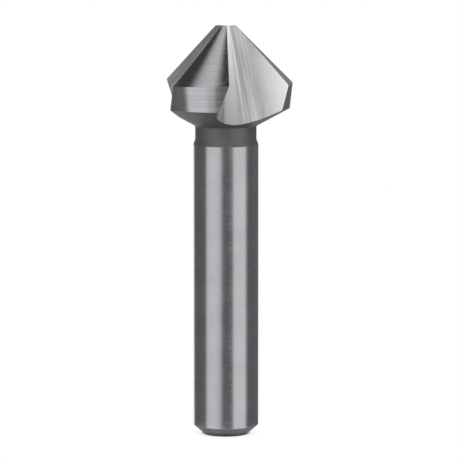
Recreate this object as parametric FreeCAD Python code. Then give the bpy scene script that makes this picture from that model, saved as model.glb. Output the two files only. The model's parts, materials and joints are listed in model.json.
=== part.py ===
import FreeCAD, Part
import math
import os

from FreeCAD import Placement, Rotation, Vector

# Three-flute 90 degree countersink bit, turned and ground from one steel bar.
# The bit stands on the flat end of its shank. The origin is the centre of that end face, +Z runs
# along the axis to the tip, and the front is -Y. All sizes are millimetres, all angles degrees.
# Places around the axis are angles from the front, counter-clockwise as seen from the tip.

# Whole bit
overall_length = 63.0
flute_count = 3

# Cutting head
head_diameter = 20.5
tip_flat_diameter = 3.5
point_angle = 90.0
margin_height = 4.06
margin_taper_angle = 6.5
back_cone_angle = 28.5
relief_offset = 0.45

# Neck between head and shank
neck_diameter = 9.4
neck_length = 2.03
neck_root_radius = 0.35
shoulder_length = 0.85

# Shank that the chuck grips
shank_diameter = 10.0
shank_chamfer_height = 1.4
shank_chamfer_depth = 1.6

# Cutting edge, as angles around the axis at the tip and at the widest corner
edge_tip_angle = 5.0
edge_corner_angle = 2.95

# Rake wall and valley of a flute, whose level section grows from the tip to the widest corner
rake_wall_angle = 111.7
valley_depth_at_tip = 0.75
valley_depth_at_corner = 3.62
valley_dip_at_tip = 0.006
valley_dip_at_corner = 0.072

# Wide hollow face of a flute, which ends at the heel of the land behind it
heel_corner_angle = 69.65
face_heel_angle = -10.2
face_slope_angle = 20.3
face_drift_angle = 11.3
face_hollow_radius = 30.0
face_sweep_angle = 38.0

# Room that the cutting tools have past the bit
tool_overrun = 2.0
flute_overrun = 0.5


def radius_of(diameter):
    return diameter / 2


def polar(radius, place, height):
    """A point at a distance from the axis, at a place around it counted from the front."""
    turn = math.radians(place)
    return Vector(radius * math.sin(turn), -radius * math.cos(turn), height)


def bearing(angle):
    """A level direction, counted from +X towards +Y."""
    turn = math.radians(angle)
    return Vector(math.cos(turn), math.sin(turn), 0)


head_radius = radius_of(head_diameter)
tip_radius = radius_of(tip_flat_diameter)
neck_radius = radius_of(neck_diameter)
shank_radius = radius_of(shank_diameter)
cone_half_angle = point_angle / 2

# Heights along the axis, worked down from the tip
cone_height = (head_radius - tip_radius) / math.tan(math.radians(cone_half_angle))
corner_z = overall_length - cone_height
land_cone_radius = math.hypot(head_radius, relief_offset)
apex_z = corner_z + land_cone_radius / math.tan(math.radians(cone_half_angle))
margin_base_z = corner_z - margin_height
margin_base_radius = head_radius - margin_height * math.tan(math.radians(margin_taper_angle))
back_cone_height = (margin_base_radius - neck_radius) * math.tan(math.radians(back_cone_angle))
neck_top_z = margin_base_z - back_cone_height
neck_base_z = neck_top_z - neck_length
shank_top_z = neck_base_z - shoulder_length


def turned_blank():
    """The turned bar, with the margin's taper carried up past the cone still to be ground."""
    blank_top_radius = head_radius + cone_height * math.tan(math.radians(margin_taper_angle))
    end_face_radius = shank_radius - shank_chamfer_depth
    outline = [
        Vector(0, 0, 0),
        Vector(end_face_radius, 0, 0),
        Vector(shank_radius, 0, shank_chamfer_height),
        Vector(shank_radius, 0, shank_top_z),
        Vector(neck_radius, 0, neck_base_z),
        Vector(neck_radius, 0, neck_top_z),
        Vector(margin_base_radius, 0, margin_base_z),
        Vector(blank_top_radius, 0, overall_length),
        Vector(0, 0, overall_length),
        Vector(0, 0, 0),
    ]
    face = Part.Face(Part.makePolygon(outline))
    return face.revolve(Vector(0, 0, 0), Vector(0, 0, 1), 360)


def round_neck_root(blank):
    """Round the inner corner where the back cone runs into the neck."""
    on_root = Part.Vertex(Vector(-neck_radius, 0, neck_top_z))
    root_edge = min(blank.Edges, key=lambda edge: edge.distToShape(on_root)[0])
    return blank.makeFillet(neck_root_radius, [root_edge])


def land_sector(edge_place):
    """A wedge of space around one land, whose two sides both lie inside the flutes beside it."""
    pitch = 360 / flute_count
    flute_middle = edge_place + (heel_corner_angle - edge_corner_angle) / 2
    base_z = corner_z - margin_height / 2
    reach = head_diameter
    corners = [Vector(0, 0, base_z)]
    for step in range(3):
        corners.append(polar(reach, flute_middle - step * pitch / 2, base_z))
    corners.append(corners[0])
    sector = Part.Face(Part.makePolygon(corners))
    return sector.extrude(Vector(0, 0, apex_z + tool_overrun - base_z))


def relieved_cone(edge_place):
    """The cone that bounds one land: it stands off the axis, so that the land falls away behind its edge."""
    apex = polar(relief_offset, edge_place + 90, apex_z)
    depth = head_diameter
    base_radius = depth * math.tan(math.radians(cone_half_angle))
    return Part.makeCone(0, base_radius, depth, apex, Vector(0, 0, -1))


def grown(at_tip, at_corner, height):
    """A size or place that changes evenly with height, known at the tip and at the widest corner."""
    return at_tip + (at_corner - at_tip) * ((overall_length - height) / cone_height)


def turned_spoke(spoke, angle):
    return Rotation(Vector(0, 0, 1), angle).multVec(spoke)


def dipped_radius(wall_start, inward, face_centre, dip):
    """The radius of a valley that leaves the wall at its start and dips a little under the face."""
    arm = wall_start - face_centre
    reach = face_hollow_radius + dip
    return (reach ** 2 - arm.dot(arm)) / (2 * (arm.dot(inward) + reach))


def ridge_point(valley_centre, valley_radius, face_centre):
    """The point, at one height, where the valley's circle comes up through the hollow face."""
    towards = valley_centre - face_centre
    gap = towards.Length
    towards.normalize()
    along = (face_hollow_radius ** 2 - valley_radius ** 2 + gap ** 2) / (2 * gap)
    half_chord = math.sqrt(face_hollow_radius ** 2 - along ** 2)
    return face_centre + towards * along + turned_spoke(towards, -90) * half_chord


def flute_section(height):
    """The outline of a flute's space at one height: rake wall, valley, hollow face and open side."""
    edge = grown(polar(tip_radius, edge_tip_angle, 0), polar(head_radius, edge_corner_angle, 0), height)
    edge.z = height
    wall_way = bearing(rake_wall_angle) * -1
    wall_start = edge - wall_way * grown(valley_depth_at_tip, valley_depth_at_corner, height)
    wall_end = edge + wall_way * 2 * head_diameter

    heel = polar(head_radius, heel_corner_angle, height)
    across = math.tan(math.radians(face_drift_angle))
    forward = math.tan(math.radians(face_slope_angle))
    drift = Vector(across, -forward, 0) * (corner_z - height)
    face_centre = heel + bearing(face_heel_angle - 90) * face_hollow_radius + drift

    inward = turned_spoke(wall_way, 90)
    dip = grown(valley_dip_at_tip, valley_dip_at_corner, height)
    valley_radius = dipped_radius(wall_start, inward, face_centre, dip)
    valley_centre = wall_start + inward * valley_radius

    ridge = ridge_point(valley_centre, valley_radius, face_centre)
    valley_spokes = wall_start - valley_centre + ridge - valley_centre
    valley_middle = valley_centre + valley_spokes.normalize() * valley_radius
    face_middle = face_centre + turned_spoke(ridge - face_centre, -face_sweep_angle / 2)
    face_end = face_centre + turned_spoke(ridge - face_centre, -face_sweep_angle)
    return Part.Wire([
        Part.LineSegment(wall_end, wall_start).toShape(),
        Part.Arc(wall_start, valley_middle, ridge).toShape(),
        Part.Arc(ridge, face_middle, face_end).toShape(),
        Part.LineSegment(face_end, wall_end).toShape(),
    ])


def flute_cutter():
    """The space of the first flute, from past the tip down to where it has left the bit."""
    heights = [shank_top_z, corner_z, overall_length + flute_overrun]
    return Part.makeLoft([flute_section(height) for height in heights], True, False)


def turned_about_axis(shape, angle):
    moved = shape.copy()
    moved.Placement = Placement(Vector(0, 0, 0), Rotation(Vector(0, 0, 1), angle))
    return moved


def countersink_bit():
    bit = round_neck_root(turned_blank())
    pitch = 360 / flute_count
    for number in range(flute_count):
        place = edge_corner_angle + number * pitch
        bit = bit.cut(land_sector(place).cut(relieved_cone(place)))
    cutter = flute_cutter()
    for number in range(flute_count):
        bit = bit.cut(turned_about_axis(cutter, number * pitch))
    return bit.removeSplitter()


def main():
    os.makedirs("parts", exist_ok=True)
    shape = countersink_bit()
    solids = shape.Solids
    if len(solids) != 1 or not shape.isValid():
        raise ValueError("the bit is not one sound solid")
    solids[0].exportStep("parts/countersink_bit.step")
    box = solids[0].optimalBoundingBox()
    print("volume mm3 %.2f" % solids[0].Volume)
    print("box mm %.3f %.3f %.3f" % (box.XLength, box.YLength, box.ZLength))


main()
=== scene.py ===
import json
import math

import bpy
from mathutils import Matrix, Vector

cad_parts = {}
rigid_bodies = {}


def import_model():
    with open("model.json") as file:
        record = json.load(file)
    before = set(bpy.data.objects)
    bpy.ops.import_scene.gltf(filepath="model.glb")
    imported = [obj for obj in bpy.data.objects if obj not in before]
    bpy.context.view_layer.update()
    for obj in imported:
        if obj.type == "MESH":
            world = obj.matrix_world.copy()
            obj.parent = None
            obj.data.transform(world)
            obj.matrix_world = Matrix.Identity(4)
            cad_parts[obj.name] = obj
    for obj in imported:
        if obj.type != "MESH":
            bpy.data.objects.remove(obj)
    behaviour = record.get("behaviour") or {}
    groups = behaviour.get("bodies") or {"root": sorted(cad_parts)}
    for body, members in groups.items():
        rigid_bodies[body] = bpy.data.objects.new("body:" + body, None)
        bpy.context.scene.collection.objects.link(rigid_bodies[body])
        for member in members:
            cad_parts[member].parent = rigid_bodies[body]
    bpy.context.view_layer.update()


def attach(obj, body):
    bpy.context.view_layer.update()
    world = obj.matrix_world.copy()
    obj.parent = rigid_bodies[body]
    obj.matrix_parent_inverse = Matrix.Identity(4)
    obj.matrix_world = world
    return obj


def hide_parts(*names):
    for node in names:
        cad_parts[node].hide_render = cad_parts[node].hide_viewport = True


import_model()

# A three-flute 90 degree countersink bit that stands on its shank end.
# The bit is worked out in millimetres and scaled to metres at the end.
# Places around the axis are degrees from the front, counter-clockwise as seen from the tip.
MM = 0.001

# Whole bit
LENGTH = 63.0
FLUTES = 3
PITCH = 360 / FLUTES

# Cutting head
HEAD_R = 10.25
TIP_R = 1.75
MARGIN_HEIGHT = 4.06
MARGIN_TAPER = math.tan(math.radians(6.5))
BACK_CONE_SLOPE = math.tan(math.radians(28.5))
RELIEF_OFFSET = 0.45

# Neck and shank
NECK_R = 4.7
NECK_LENGTH = 2.03
NECK_ROOT_ROUND = 0.35
SHOULDER = 0.85
SHANK_R = 5.0
CHAMFER_HEIGHT = 1.4
CHAMFER_DEPTH = 1.6

# Small rounds on the turned corners
END_BREAK = 0.08
CHAMFER_BREAK = 0.12
SHOULDER_ROUND = 0.3
MARGIN_BREAK = 0.06

# Flute section: flat rake wall, round valley and wide hollow face
EDGE_TIP = 5.0
EDGE_CORNER = 2.95
WALL_BEARING = 111.7
VALLEY_DIP_TIP = 0.006
VALLEY_DIP_CORNER = 0.072
VALLEY_RUN_TIP = 0.75
VALLEY_RUN_CORNER = 3.62
HEEL_CORNER = 69.65
HEEL_BEARING = -10.2
HOLLOW_R = 30.0
FACE_DRIFT = math.tan(math.radians(11.3))
FACE_SLOPE = math.tan(math.radians(20.3))
FACE_SWEEP = math.radians(38)
FLUTE_OVERRUN = 0.5

# Heights along the axis
CORNER_Z = LENGTH - (HEAD_R - TIP_R)
APEX_Z = CORNER_Z + math.hypot(HEAD_R, RELIEF_OFFSET)
MARGIN_BASE_Z = CORNER_Z - MARGIN_HEIGHT
MARGIN_BASE_R = HEAD_R - MARGIN_HEIGHT * MARGIN_TAPER
NECK_TOP_Z = MARGIN_BASE_Z - (MARGIN_BASE_R - NECK_R) * BACK_CONE_SLOPE
NECK_BASE_Z = NECK_TOP_Z - NECK_LENGTH
SHANK_TOP_Z = NECK_BASE_Z - SHOULDER

# Fineness of the mesh
COLUMNS = 360
SHANK_ROWS = 8
ROUND_STEPS = 6
MARGIN_RING_DROP = 0.5
CORNER_ROUNDS = 6
CONE_ROWS = 14
VALLEY_STEPS = 30
FACE_STEPS = 24
FLUTE_ROWS = 24
SMOOTH_ANGLE = math.radians(13)
RIDGE_ANGLE = math.radians(4)

# Grinding map of the surfaces, in millimetres: u along the grinding lines, v across them
GRIND = "grind"
GRIND_R = 8.0
END_RING_R = 2.0
VALLEY_WIDTH = 5.0

# Light tent. A panel has its azimuths (0 is the camera's side, + is right) and elevations in degrees,
# its level, and the softness of its edges in degrees. Each panel lies over the ones before it.
ROOM_LEVEL = 0.16
PANELS = [
    ((-200, 200), (36, 140), 0.06, 14),
    ((-200, 200), (-140, -32), 0.45, 14),
    ((150, 210), (-52, -20), 0.8, 14),
    ((112, 178), (-22, 4), 0.16, 8),
    ((112, 178), (4, 34), 0.28, 10),
    ((-73, -15), (-34, 62), 0.95, 20),
    ((-75, -19), (-34, -12), 0.86, 8),
    ((-100, -75), (-30, -13), 0.2, 5),
    ((-19, 4), (-30, -13), 0.2, 5),
    ((-113, -42), (56, 79), 0.95, 10),
    ((-54, -7.5), (24, 48), 1.4, 4),
    ((26, 77), (-42, 14), 0.98, 16),
    ((12, 90), (12, 50), 0.92, 6),
    ((-7.5, 3), (26, 50), 0.62, 4),
    ((3, 13), (26, 50), 0.44, 4),
    ((-34, 4), (-140, -21), 0.22, 10),
    ((-178, -150), (-60, 24), 0.9, 6),
]

# How far the steel's tone and roughness change over its grinding lines and its blotches, and the
# height of the lines in metres
BLOTCH_TONE = 0.05
LINE_GLOSS = 0.04
BLOTCH_GLOSS = 0.02
LINE_HEIGHT = 0.00001

# Camera of the photograph, in metres, and its focal length in pixels of a 460 pixel wide image
CAMERA_SPOT = Vector((0.00064, -0.5205, 0.094229))
CAMERA_AIM = Vector((0.00064, 0, 0.03158))
IMAGE_WIDTH = 460
FOCAL_PIXELS = 3411.0
SENSOR_WIDTH = 36.0

# Material slots. The turned neck slot, the back cone and the chamfer carry steel painted dark as painted
# shade.
SHANK, HEAD, TURNED_PAINTED_SHADE, FACE, VALLEY, BACK, WALL, CHAMFER = range(8)


def polar(radius, place, height):
    turn = math.radians(place)
    return Vector((radius * math.sin(turn), -radius * math.cos(turn), height))


def bearing(angle):
    turn = math.radians(angle)
    return Vector((math.cos(turn), math.sin(turn), 0))


def rounded(points, rounds):
    """A profile of (radius, height, slot) points whose corners are rounded by a tangent arc."""
    out = [points[0]]
    for before, here, after, size in zip(points, points[1:], points[2:], rounds):
        corner = Vector(here[:2])
        way_in = (Vector(before[:2]) - corner).normalized()
        way_out = (Vector(after[:2]) - corner).normalized()
        if size == 0:
            out.append(here)
            continue
        half = way_in.angle(way_out) / 2
        run = size / math.tan(half)
        middle = (way_in + way_out).normalized()
        centre = corner + middle * (size / math.sin(half))
        start = corner + way_in * run - centre
        end = corner + way_out * run - centre
        sweep = start.angle(end)
        for step in range(ROUND_STEPS + 1):
            share = step / ROUND_STEPS
            spoke = start * math.sin((1 - share) * sweep) + end * math.sin(share * sweep)
            point = centre + spoke / math.sin(sweep)
            out.append((point.x, point.y, before[2] if share < 0.5 else here[2]))
    out.append(points[-1])
    return out


def lower_profile():
    """The turned outline from the end face up to the margin's last level ring, just below its corner."""
    shank_length = SHANK_TOP_Z - CHAMFER_HEIGHT
    shank_steps = [shank_length * k / SHANK_ROWS for k in range(SHANK_ROWS)]
    shank_rows = [(SHANK_R, CHAMFER_HEIGHT + step, SHANK) for step in shank_steps]
    points = [
        (END_RING_R, 0, TURNED_PAINTED_SHADE),
        (SHANK_R - CHAMFER_DEPTH, 0, CHAMFER),
        *shank_rows,
        (SHANK_R, SHANK_TOP_Z, TURNED_PAINTED_SHADE),
        (NECK_R, NECK_BASE_Z, TURNED_PAINTED_SHADE),
        (NECK_R, NECK_TOP_Z, BACK),
        (MARGIN_BASE_R, MARGIN_BASE_Z, HEAD),
        (HEAD_R - MARGIN_RING_DROP * MARGIN_TAPER, CORNER_Z - MARGIN_RING_DROP, HEAD),
    ]
    on_shank = [0] * (SHANK_ROWS - 1)
    on_neck = [SHOULDER_ROUND, SHOULDER_ROUND, NECK_ROOT_ROUND]
    return rounded(points, [END_BREAK, CHAMFER_BREAK, *on_shank, *on_neck, MARGIN_BREAK])


def upper_profile(place):
    """The ground outline from the widest corner up over the cone to the tip flat.

    Each land's cone stands a little off the axis, so that the land falls away behind its edge.
    The corner's height is found in a few rounds, as the margin's radius there depends on it.
    """
    flute_middle = EDGE_CORNER + (HEEL_CORNER - EDGE_CORNER) / 2
    behind = (flute_middle - place) % PITCH
    turn = math.radians(flute_middle - behind - EDGE_CORNER - 90)
    ahead = RELIEF_OFFSET * math.cos(turn)
    aside = RELIEF_OFFSET * math.sin(turn)
    corner_z = CORNER_Z
    for step in range(CORNER_ROUNDS):
        margin_r = HEAD_R + (corner_z - CORNER_Z) * MARGIN_TAPER
        corner_z = APEX_Z - math.hypot(margin_r - ahead, aside)
    rows = []
    for k in range(CONE_ROWS + 1):
        z = corner_z + (LENGTH - corner_z) * k / CONE_ROWS
        rows.append((ahead + math.sqrt((APEX_Z - z) ** 2 - aside ** 2), z, HEAD))
    return rows


def mesh_of(name, points, faces, slots, uvs):
    mesh = bpy.data.meshes.new(name)
    mesh.from_pydata(points, [], faces)
    for material in materials:
        mesh.materials.append(material)
    mesh.polygons.foreach_set("material_index", slots)
    layer = mesh.uv_layers.new(name=GRIND)
    flat = [value for uv in uvs for value in uv]
    layer.data.foreach_set("uv", flat)
    mesh.update()
    return mesh


def turned_body():
    """The turned and ground bar before its flutes, with each land's cone already relieved."""
    lower = lower_profile()
    points = []
    run = [0.0]
    for column in range(COLUMNS):
        place = 360 * column / COLUMNS
        profile = lower + upper_profile(place)
        if column == 0:
            for a, b in zip(profile, profile[1:]):
                run.append(run[-1] + math.hypot(b[0] - a[0], b[1] - a[1]))
        points.extend(polar(radius, place, z) for radius, z, slot in profile)
    rows = len(lower) + CONE_ROWS + 1
    slots_of_rows = [slot for radius, z, slot in lower + upper_profile(0)]
    faces, slots, uvs = [], [], []
    around = GRIND_R * math.radians(360 / COLUMNS)
    for column in range(COLUMNS):
        here = column * rows
        beside = (column + 1) % COLUMNS * rows
        for row in range(rows - 1):
            faces.append((here + row, beside + row, beside + row + 1, here + row + 1))
            slots.append(slots_of_rows[row])
            left, right = around * column, around * (column + 1)
            low, high = run[row], run[row + 1]
            uvs.extend([(left, low), (right, low), (right, high), (left, high)])
    foot = len(points)
    points.append(Vector((0, 0, 0)))
    top = len(points)
    points.append(Vector((0, 0, LENGTH)))
    for column in range(COLUMNS):
        here = column * rows
        beside = (column + 1) % COLUMNS * rows
        left, right = around * column, around * (column + 1)
        faces.append((foot, beside, here))
        slots.append(TURNED_PAINTED_SHADE)
        uvs.extend([(left, -END_RING_R), (right, 0.0), (left, 0.0)])
        faces.append((top, here + rows - 1, beside + rows - 1))
        slots.append(HEAD)
        uvs.extend([(left, run[-1] + TIP_R), (left, run[-1]), (right, run[-1])])
    return mesh_of("turned_body", points, faces, slots, uvs)


def turned_level(vector):
    """A level vector turned a quarter counter-clockwise."""
    return Vector((-vector.y, vector.x, 0))


def arc(centre, start, sweep, steps):
    """Points of a level arc about a centre, from a start point over a signed sweep."""
    spoke = start - centre
    side = turned_level(spoke)
    angles = [sweep * k / steps for k in range(steps + 1)]
    return [centre + spoke * math.cos(angle) + side * math.sin(angle) for angle in angles]


def sweep_between(centre, start, end):
    a = start - centre
    b = end - centre
    return math.atan2(a.x * b.y - a.y * b.x, a.dot(b))


def flute_section(height):
    """The flute's level section: the wall's end, the valley from wall to ridge, and the hollow face."""
    share = (LENGTH - height) / (LENGTH - CORNER_Z)
    edge = polar(TIP_R, EDGE_TIP, height).lerp(polar(HEAD_R, EDGE_CORNER, height), share)
    run = VALLEY_RUN_TIP + (VALLEY_RUN_CORNER - VALLEY_RUN_TIP) * share
    wall_way = bearing(WALL_BEARING) * -1
    wall_start = edge - wall_way * run
    inward = turned_level(wall_way)
    hollow = polar(HEAD_R, HEEL_CORNER, height) + bearing(HEEL_BEARING - 90) * HOLLOW_R
    hollow += Vector((FACE_DRIFT, -FACE_SLOPE, 0)) * (CORNER_Z - height)
    arm = wall_start - hollow
    reach = HOLLOW_R + VALLEY_DIP_TIP + (VALLEY_DIP_CORNER - VALLEY_DIP_TIP) * share
    radius = (reach ** 2 - arm.dot(arm)) / (2 * (arm.dot(inward) + reach))
    centre = wall_start + inward * radius
    gap = (centre - hollow).length
    towards = (centre - hollow) / gap
    run_in = (HOLLOW_R ** 2 - radius ** 2 + gap ** 2) / (2 * gap)
    half_chord = math.sqrt(HOLLOW_R ** 2 - run_in ** 2)
    ridge = hollow + towards * run_in - turned_level(towards) * half_chord
    valley = arc(centre, wall_start, sweep_between(centre, wall_start, ridge), VALLEY_STEPS)
    face = arc(hollow, ridge, -FACE_SWEEP, FACE_STEPS)
    return [wall_start + wall_way * 2 * HEAD_R], valley, face[1:]


def flute_cutter(number):
    """The space of one flute, from past the tip down to where it has left the bit."""
    top = LENGTH + FLUTE_OVERRUN
    heights = [SHANK_TOP_Z + (top - SHANK_TOP_Z) * k / FLUTE_ROWS for k in range(FLUTE_ROWS + 1)]
    points = []
    for height in heights:
        wall, valley, face = flute_section(height)
        points.extend(wall + valley + face)
    count = len(wall + valley + face)
    wall, valley, face = flute_section(CORNER_Z)
    edge_line = polar(TIP_R, EDGE_TIP, LENGTH) - polar(HEAD_R, EDGE_CORNER, CORNER_Z)
    face_line = Vector((-FACE_DRIFT, FACE_SLOPE, 1))

    def frame_of(start, end, line):
        along = line.normalized()
        way = (end - start).normalized()
        return start, along, (way - along * way.dot(along)).normalized()

    wall_base, wall_along, wall_across = frame_of(valley[0], wall[0], edge_line)
    face_base, face_along, face_across = frame_of(valley[-1], face[-1], face_line)
    faces, slots, uvs = [], [], []

    def uv(row, index, slot):
        point = points[row * count + index]
        if slot == VALLEY:
            return (point.z - CORNER_Z, VALLEY_WIDTH * (index - 1) / VALLEY_STEPS)
        if slot == WALL:
            offset = point - wall_base
            return (offset.dot(wall_along), -offset.dot(wall_across))
        offset = point - face_base
        return (offset.dot(face_along), VALLEY_WIDTH + offset.dot(face_across))

    for row in range(FLUTE_ROWS):
        for index in range(count - 1):
            slot = WALL if index == 0 else VALLEY if index <= VALLEY_STEPS else FACE
            corners = [(row, index), (row + 1, index), (row + 1, index + 1), (row, index + 1)]
            faces.append([r * count + i for r, i in corners])
            slots.append(slot)
            uvs.extend(uv(r, i, slot) for r, i in corners)
        here, above = row * count, (row + 1) * count
        faces.append([here + count - 1, above + count - 1, above, here])
        slots.append(FACE)
        uvs.extend([(0, 0)] * 4)
    faces.append(list(range(count)))
    faces.append([FLUTE_ROWS * count + i for i in reversed(range(count))])
    slots.extend([FACE, FACE])
    uvs.extend([(0, 0)] * (2 * count))
    mesh = mesh_of("flute_cutter", points, faces, slots, uvs)
    mesh.transform(Matrix.Rotation(math.radians(PITCH * number), 4, "Z"))
    return mesh


def cut_flutes(body):
    """The bit with its three flutes cut, scaled to metres."""
    scene_objects = bpy.context.scene.collection.objects
    blank = bpy.data.objects.new("blank", body)
    scene_objects.link(blank)
    tools = []
    for number in range(FLUTES):
        tool = bpy.data.objects.new("flute_tool", flute_cutter(number))
        scene_objects.link(tool)
        tools.append(tool)
        cut = blank.modifiers.new("flute", "BOOLEAN")
        cut.operation = "DIFFERENCE"
        cut.solver = "EXACT"
        cut.object = tool
    bpy.context.view_layer.update()
    graph = bpy.context.evaluated_depsgraph_get()
    mesh = bpy.data.meshes.new_from_object(blank.evaluated_get(graph))
    for thing in [blank, *tools]:
        bpy.data.objects.remove(thing)
    mesh.transform(Matrix.Scale(MM, 4))
    return mesh


def sharpen_ridges(mesh):
    """Keep the shallow ridge between each valley and its wide face crisp."""
    beside = {}
    for face in mesh.polygons:
        for key in face.edge_keys:
            beside.setdefault(key, []).append(face)
    sharp = mesh.attributes["sharp_edge"].data
    for edge in mesh.edges:
        faces = beside[edge.key]
        if {face.material_index for face in faces} == {FACE, VALLEY}:
            if faces[0].normal.angle(faces[1].normal) > RIDGE_ANGLE:
                sharp[edge.index].value = True


def wire(tree, source, target):
    tree.links.new(source, target)


def steel(name, colour, roughness, anisotropy, lines, line_depth, blotches, bump,
          metallic=1.0, painted_light_climb=0.0, painted_light_bands=()):
    """A metal with fine lines along the grinding direction, and slow changes in tone and gloss.

    The lines and the blotches are noises, given by how often they change per millimetre along and
    across the lines. The tone can also rise or fall by a share per millimetre along the lines, a
    painted shading gradient, and be made brighter or darker in soft stripes along them, painted
    highlights and painted shade, each given by its middle, half width and strength.
    """
    material = bpy.data.materials.new(name)
    material.use_nodes = True
    tree = material.node_tree
    shader = tree.nodes["Principled BSDF"]
    shader.inputs["Metallic"].default_value = metallic
    shader.inputs["Anisotropic"].default_value = anisotropy
    shader.inputs["Anisotropic Rotation"].default_value = 0.25

    place = tree.nodes.new("ShaderNodeUVMap")
    place.uv_map = GRIND
    tangent = tree.nodes.new("ShaderNodeTangent")
    tangent.direction_type = "UV_MAP"
    tangent.uv_map = GRIND
    wire(tree, tangent.outputs["Tangent"], shader.inputs["Tangent"])

    def noise(along, across, detail, offset):
        """A noise over the grinding map."""
        stretch = tree.nodes.new("ShaderNodeVectorMath")
        stretch.operation = "MULTIPLY_ADD"
        stretch.inputs[1].default_value = (along, across, 1)
        stretch.inputs[2].default_value = (offset, offset, 0)
        wire(tree, place.outputs["UV"], stretch.inputs[0])
        texture = tree.nodes.new("ShaderNodeTexNoise")
        texture.noise_dimensions = "2D"
        texture.inputs["Scale"].default_value = 1.0
        texture.inputs["Detail"].default_value = detail
        texture.inputs["Roughness"].default_value = 0.6
        wire(tree, stretch.outputs["Vector"], texture.inputs["Vector"])
        return texture.outputs["Fac"]

    def spread(value, low, high):
        """The middle of a noise's range, stretched over low to high."""
        scale = tree.nodes.new("ShaderNodeMapRange")
        scale.inputs["From Min"].default_value = 0.3
        scale.inputs["From Max"].default_value = 0.7
        scale.inputs["To Min"].default_value = low
        scale.inputs["To Max"].default_value = high
        wire(tree, value, scale.inputs["Value"])
        return scale.outputs["Result"]

    fine = noise(*lines, detail=3.0, offset=3.7)
    slow = noise(*blotches, detail=2.0, offset=11.3)

    tone = tree.nodes.new("ShaderNodeMath")
    tone.operation = "MULTIPLY"
    wire(tree, spread(fine, 1 - line_depth, 1 + line_depth), tone.inputs[0])
    wire(tree, spread(slow, 1 - BLOTCH_TONE, 1 + BLOTCH_TONE), tone.inputs[1])
    place_parts = tree.nodes.new("ShaderNodeSeparateXYZ")
    wire(tree, place.outputs["UV"], place_parts.inputs["Vector"])
    # Painted shading: the tone rises or falls steadily along the grinding lines.
    slope = tree.nodes.new("ShaderNodeMath")
    slope.operation = "MULTIPLY_ADD"
    slope.inputs[1].default_value = painted_light_climb
    slope.inputs[2].default_value = 1.0
    wire(tree, place_parts.outputs["X"], slope.inputs[0])
    shade = tree.nodes.new("ShaderNodeMath")
    shade.operation = "MULTIPLY"
    wire(tree, tone.outputs["Value"], shade.inputs[0])
    wire(tree, slope.outputs["Value"], shade.inputs[1])
    # Painted highlights and painted shade: soft brighter or darker stripes along the grinding lines.
    for middle, half_width, strength in painted_light_bands:
        from_middle = tree.nodes.new("ShaderNodeMath")
        from_middle.operation = "SUBTRACT"
        from_middle.inputs[1].default_value = middle
        wire(tree, place_parts.outputs["Y"], from_middle.inputs[0])
        away = tree.nodes.new("ShaderNodeMath")
        away.operation = "ABSOLUTE"
        wire(tree, from_middle.outputs["Value"], away.inputs[0])
        rise = tree.nodes.new("ShaderNodeMapRange")
        rise.interpolation_type = "SMOOTHSTEP"
        rise.inputs["From Min"].default_value = 0.0
        rise.inputs["From Max"].default_value = half_width
        rise.inputs["To Min"].default_value = 1.0 + strength
        rise.inputs["To Max"].default_value = 1.0
        wire(tree, away.outputs["Value"], rise.inputs["Value"])
        banded = tree.nodes.new("ShaderNodeMath")
        banded.operation = "MULTIPLY"
        wire(tree, shade.outputs["Value"], banded.inputs[0])
        wire(tree, rise.outputs["Result"], banded.inputs[1])
        shade = banded
    tint = tree.nodes.new("ShaderNodeVectorMath")
    tint.operation = "SCALE"
    tint.inputs[0].default_value = colour
    wire(tree, shade.outputs["Value"], tint.inputs["Scale"])
    wire(tree, tint.outputs["Vector"], shader.inputs["Base Color"])

    gloss = tree.nodes.new("ShaderNodeMath")
    gloss.operation = "ADD"
    wire(tree, spread(fine, roughness - LINE_GLOSS, roughness + LINE_GLOSS), gloss.inputs[0])
    wire(tree, spread(slow, -BLOTCH_GLOSS, BLOTCH_GLOSS), gloss.inputs[1])
    wire(tree, gloss.outputs["Value"], shader.inputs["Roughness"])

    relief = tree.nodes.new("ShaderNodeBump")
    relief.inputs["Strength"].default_value = bump
    relief.inputs["Distance"].default_value = LINE_HEIGHT
    wire(tree, fine, relief.inputs["Height"])
    wire(tree, relief.outputs["Normal"], shader.inputs["Normal"])
    return material


def painted_light(name, attribute):
    """Light whose level is painted on the mesh that gives it."""
    material = bpy.data.materials.new(name)
    material.use_nodes = True
    material.cycles.emission_sampling = "NONE"
    tree = material.node_tree
    tree.nodes.clear()
    out = tree.nodes.new("ShaderNodeOutputMaterial")
    glow = tree.nodes.new("ShaderNodeEmission")
    level = tree.nodes.new("ShaderNodeAttribute")
    level.attribute_name = attribute
    wire(tree, level.outputs["Fac"], glow.inputs["Strength"])
    wire(tree, glow.outputs["Emission"], out.inputs["Surface"])
    return material


def fade(half, soft, distance):
    """1 within half a panel's width, falling softly to 0 across its edge."""
    share = min(1, max(0, (half + soft / 2 - distance) / soft))
    return share * share * (3 - 2 * share)


def level_at(azimuth, elevation):
    """The studio's brightness in one direction: the panels laid over a dim room."""
    level = ROOM_LEVEL
    for azimuths, elevations, panel_level, soft in PANELS:
        off = (azimuth - (azimuths[0] + azimuths[1]) / 2 + 180) % 360 - 180
        across = fade((azimuths[1] - azimuths[0]) / 2, soft, abs(off))
        rise = abs(elevation - (elevations[0] + elevations[1]) / 2)
        weight = across * fade((elevations[1] - elevations[0]) / 2, soft, rise)
        level += (panel_level - level) * weight
    return level


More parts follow.
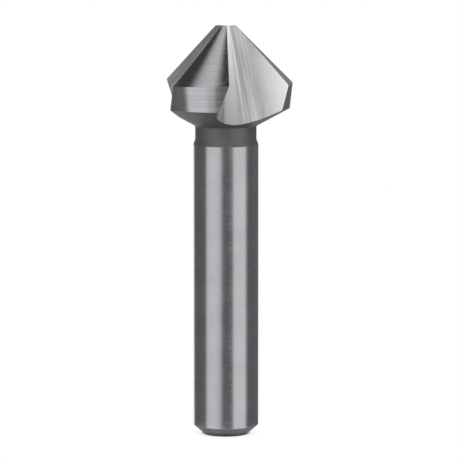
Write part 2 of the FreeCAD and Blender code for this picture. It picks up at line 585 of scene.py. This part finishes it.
def dome():
    """The light tent around the bit. Only reflections see it; the room beyond it is plain white."""
    reach = 2.0
    columns, rows = 144, 72
    centre = Vector((0, 0, 0.035))
    points, levels, faces = [], [], []
    for row in range(rows + 1):
        elevation = -90 + 180 * row / rows
        rise = math.radians(elevation)
        for column in range(columns):
            azimuth = -180 + 360 * column / columns
            points.append(centre + polar(reach * math.cos(rise), azimuth, reach * math.sin(rise)))
            levels.append(level_at(azimuth, elevation))
    for row in range(rows):
        for column in range(columns):
            beside = (column + 1) % columns
            low, high = row * columns, (row + 1) * columns
            faces.append((low + column, high + column, high + beside, low + beside))
    mesh = bpy.data.meshes.new("dome")
    mesh.from_pydata(points, [], faces)
    mesh.attributes.new("level", "FLOAT", "POINT").data.foreach_set("value", levels)
    mesh.materials.append(painted_light("tent_light", "level"))
    tent = bpy.data.objects.new("dome", mesh)
    bpy.context.scene.collection.objects.link(tent)
    tent.visible_camera = False
    tent.visible_diffuse = False
    tent.visible_shadow = False


def floor():
    """A small pale round floor that keeps the bit's real contact shadow, glows dark under the bit as a
    painted contact shadow, and is white beyond it.
    """
    # Glow levels by radius: dark under the bit, a painted contact shadow, and pale beyond it.
    radii = [0, 3.3, 3.9, 7.5]
    levels = [0.1, 0.1, 0.8, 0.8]
    count = 96
    points, faces, glow_and_painted_shadow = [], [], []
    for radius, shade in zip(radii, levels):
        for k in range(count):
            points.append(polar(radius * MM, 360 * k / count, 0))
            glow_and_painted_shadow.append(shade)
    for ring in range(len(radii) - 1):
        for k in range(count):
            here, beside = ring * count + k, ring * count + (k + 1) % count
            faces.append((here, here + count, beside + count, beside))
    mesh = bpy.data.meshes.new("floor")
    mesh.from_pydata(points, [], faces)
    mesh.attributes.new("level", "FLOAT", "POINT").data.foreach_set("value", glow_and_painted_shadow)
    disc = bpy.data.objects.new("floor", mesh)
    bpy.context.scene.collection.objects.link(disc)
    material = bpy.data.materials.new("pale_floor")
    material.use_nodes = True
    tree = material.node_tree
    tree.nodes.clear()
    out = tree.nodes.new("ShaderNodeOutputMaterial")
    both = tree.nodes.new("ShaderNodeAddShader")
    matt = tree.nodes.new("ShaderNodeBsdfDiffuse")
    matt.inputs["Color"].default_value = (0.3, 0.3, 0.3, 1)
    glow = tree.nodes.new("ShaderNodeEmission")
    path = tree.nodes.new("ShaderNodeLightPath")
    seen = tree.nodes.new("ShaderNodeMath")
    seen.operation = "MAXIMUM"
    seen_too = tree.nodes.new("ShaderNodeMath")
    seen_too.operation = "MAXIMUM"
    # The glow that the camera and reflections see carries the painted contact shadow.
    shade = tree.nodes.new("ShaderNodeAttribute")
    shade.attribute_name = "level"
    lift = tree.nodes.new("ShaderNodeMath")
    lift.operation = "MULTIPLY"
    wire(tree, shade.outputs["Fac"], lift.inputs[1])
    wire(tree, path.outputs["Is Camera Ray"], seen.inputs[0])
    wire(tree, path.outputs["Is Glossy Ray"], seen.inputs[1])
    wire(tree, seen.outputs["Value"], seen_too.inputs[0])
    wire(tree, path.outputs["Is Transmission Ray"], seen_too.inputs[1])
    wire(tree, seen_too.outputs["Value"], lift.inputs[0])
    wire(tree, lift.outputs["Value"], glow.inputs["Strength"])
    wire(tree, matt.outputs["BSDF"], both.inputs[0])
    wire(tree, glow.outputs["Emission"], both.inputs[1])
    wire(tree, both.outputs["Shader"], out.inputs["Surface"])
    mesh.materials.append(material)


def white_world():
    world = bpy.data.worlds.new("white_room")
    world.use_nodes = True
    background = world.node_tree.nodes["Background"]
    background.inputs["Color"].default_value = (1, 1, 1, 1)
    background.inputs["Strength"].default_value = 1.0
    bpy.context.scene.world = world


def camera():
    """The photograph's view, which looks slightly down."""
    data = bpy.data.cameras.new("camera")
    data.sensor_width = SENSOR_WIDTH
    data.lens = FOCAL_PIXELS / IMAGE_WIDTH * SENSOR_WIDTH
    data.clip_start = 0.01
    data.clip_end = 20
    eye = bpy.data.objects.new("camera", data)
    bpy.context.scene.collection.objects.link(eye)
    eye.location = CAMERA_SPOT
    eye.rotation_euler = (CAMERA_AIM - CAMERA_SPOT).to_track_quat("-Z", "Y").to_euler()
    bpy.context.scene.camera = eye


# The bit
materials = [
    steel("ground_shank", (0.522, 0.514, 0.539), roughness=0.25, anisotropy=0.94,
          lines=(0.02, 5.0), line_depth=0.016, blotches=(0.1, 0.3), bump=0.08),
    steel("ground_head", (0.548, 0.545, 0.568), roughness=0.21, anisotropy=0.90,
          lines=(0.03, 2.9), line_depth=0.09, blotches=(0.15, 0.8), bump=0.09),
    # Painted shade: the neck's steel is painted dark over its turned finish.
    steel("turned_neck_painted_shade", (0.160, 0.153, 0.156), roughness=0.50, anisotropy=0.0,
          lines=(0.05, 4.0), line_depth=0.06, blotches=(0.3, 0.5), bump=0.2, metallic=0.7),
    # The wide face has a painted highlight: a brighter stripe along it just beyond the ridge.
    steel("ground_face", (0.603, 0.60, 0.614), roughness=0.19, anisotropy=0.80,
          lines=(0.03, 2.2), line_depth=0.045, blotches=(0.12, 0.6), bump=0.12,
          painted_light_bands=[(6.25, 1.3, 0.26)]),
    # The valley is painted brighter towards the tip, with a painted highlight just inside the ridge, and
    # painted shade at the ridge, in its middle and at the foot of the wall.
    steel("ground_valley", (0.633, 0.63, 0.644), roughness=0.22, anisotropy=0.80,
          lines=(0.03, 1.2), line_depth=0.03, blotches=(0.12, 0.6), bump=0.1, painted_light_climb=0.052,
          painted_light_bands=[(4.6, 0.4, 0.12), (5.0, 0.2, -0.1), (3.0, 1.5, -0.14), (0.0, 1.5, -0.7)]),
    # Painted shade: the back cone's steel is painted dark over its turned finish.
    steel("turned_back_painted_shade", (0.129, 0.125, 0.134), roughness=0.50, anisotropy=0.0,
          lines=(0.05, 4.0), line_depth=0.06, blotches=(0.3, 0.5), bump=0.2, metallic=0.7),
    # Painted shading: the wall is painted darker towards the tip.
    steel("ground_wall", (0.63, 0.63, 0.64), roughness=0.23, anisotropy=0.80,
          lines=(0.03, 1.7), line_depth=0.06, blotches=(0.12, 0.6), bump=0.15, painted_light_climb=-0.058),
    # Painted shade: the chamfer's steel is painted dark, and darker still towards its bottom edge by the
    # floor.
    steel("turned_chamfer_painted_shade", (0.194, 0.187, 0.213), roughness=0.5, anisotropy=0.94,
          lines=(0.02, 5.0), line_depth=0.05, blotches=(0.1, 0.3), bump=0.15,
          painted_light_bands=[(1.4, 1.3, -0.6)]),
]
bit_mesh = cut_flutes(turned_body())
bit_mesh.name = "countersink"
bit_mesh.polygons.foreach_set("use_smooth", [True] * len(bit_mesh.polygons))
bit_mesh.set_sharp_from_angle(angle=SMOOTH_ANGLE)
sharpen_ridges(bit_mesh)
bit = bpy.data.objects.new("countersink", bit_mesh)
bpy.context.scene.collection.objects.link(bit)
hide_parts("countersink_bit")
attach(bit, "root")

# The studio
white_world()
floor()
camera()
dome()

bpy.context.scene.view_settings.view_transform = "Standard"
